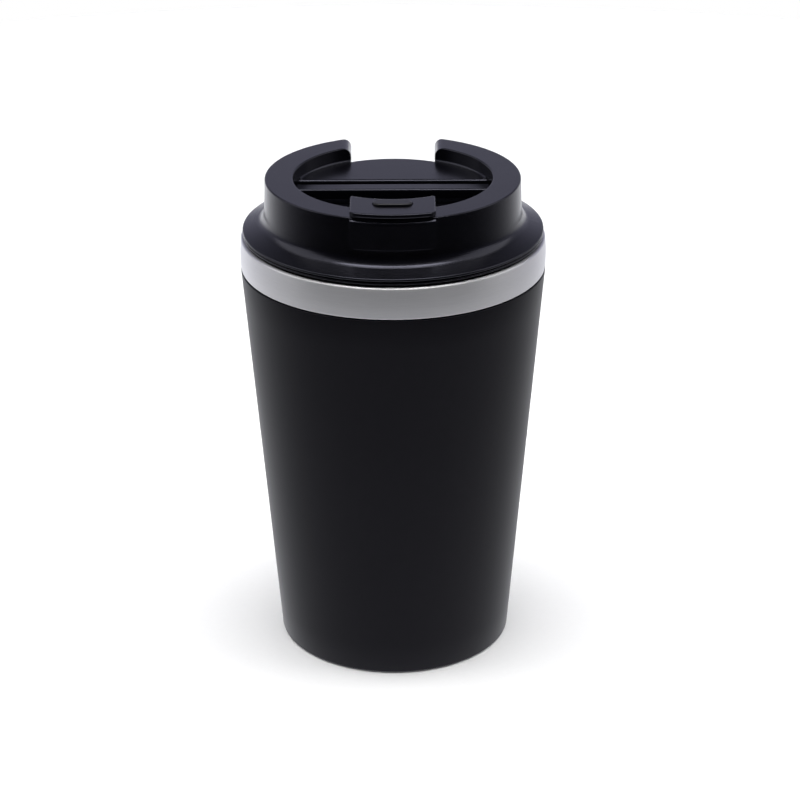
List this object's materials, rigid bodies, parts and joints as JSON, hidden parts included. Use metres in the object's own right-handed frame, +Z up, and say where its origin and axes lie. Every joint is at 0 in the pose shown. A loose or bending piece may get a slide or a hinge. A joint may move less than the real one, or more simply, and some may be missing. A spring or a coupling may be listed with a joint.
{
  "type": "insulated travel mug",
  "caption": "Tapered double-wall steel travel mug with a steel rim band and a screw-in lid whose hinged sip flap swings back over a rear platform.",
  "frame": {"origin": "centre of the base pad's underside, on the mug's axis", "axes": "+Z up along the mug's axis, -Y towards the sip side, +X along the flap's hinge pin"},
  "size_m": [0.0872, 0.0872, 0.1441],
  "materials": {
    "coated_steel": "matt black powder coat with a fine grain",
    "band_steel": "bare stainless steel brushed around the rim",
    "liner_steel": "electropolished stainless steel",
    "getter_metal": "dull sintered metal",
    "foot_rubber": "matt black silicone",
    "seal_silicone": "soft grey silicone",
    "lid_plastic": "satin black polypropylene",
    "insert_plastic": "satin black polypropylene",
    "pin_steel": "plain drawn stainless pin",
    "flap_plastic": "satin black polypropylene",
    "plug_silicone": "smooth black silicone"
  },
  "bodies": {
    "mug": {"outer_shell": "coated_steel", "rim_band": "band_steel", "inner_liner": "liner_steel", "shell_base": "liner_steel", "getter": "getter_metal", "vacuum_plug": "getter_metal", "base_pad": "foot_rubber"},
    "seal": {"lid_seal": "seal_silicone"},
    "lid": {"lid_cover": "lid_plastic", "lid_insert": "insert_plastic", "channel_gasket": "seal_silicone", "vent_gasket": "seal_silicone", "hinge_pin": "pin_steel"},
    "flap": {"flap": "flap_plastic", "sip_plug": "plug_silicone", "vent_plug": "plug_silicone"}
  },
  "joints": [
    {"name": "lid_lift", "type": "slide", "parent": "mug", "child": "seal", "axis": [0, 0, 1], "range_m": [0, 0.0241]},
    {"name": "lid_turn", "type": "hinge", "parent": "seal", "child": "lid", "pos_m": [0, 0, 0.12], "axis": [0, 0, 1], "range_deg": [0, 1080]},
    {"name": "flap_open", "type": "hinge", "parent": "lid", "child": "flap", "pos_m": [0, 0.0027, 0.13555], "axis": [-1, 0, 0], "range_deg": [0, 160]}
  ],
  "couplings": [
    {"joint": "lid_lift", "follows": "lid_turn", "m_per_rad": 0.0012732}
  ]
}
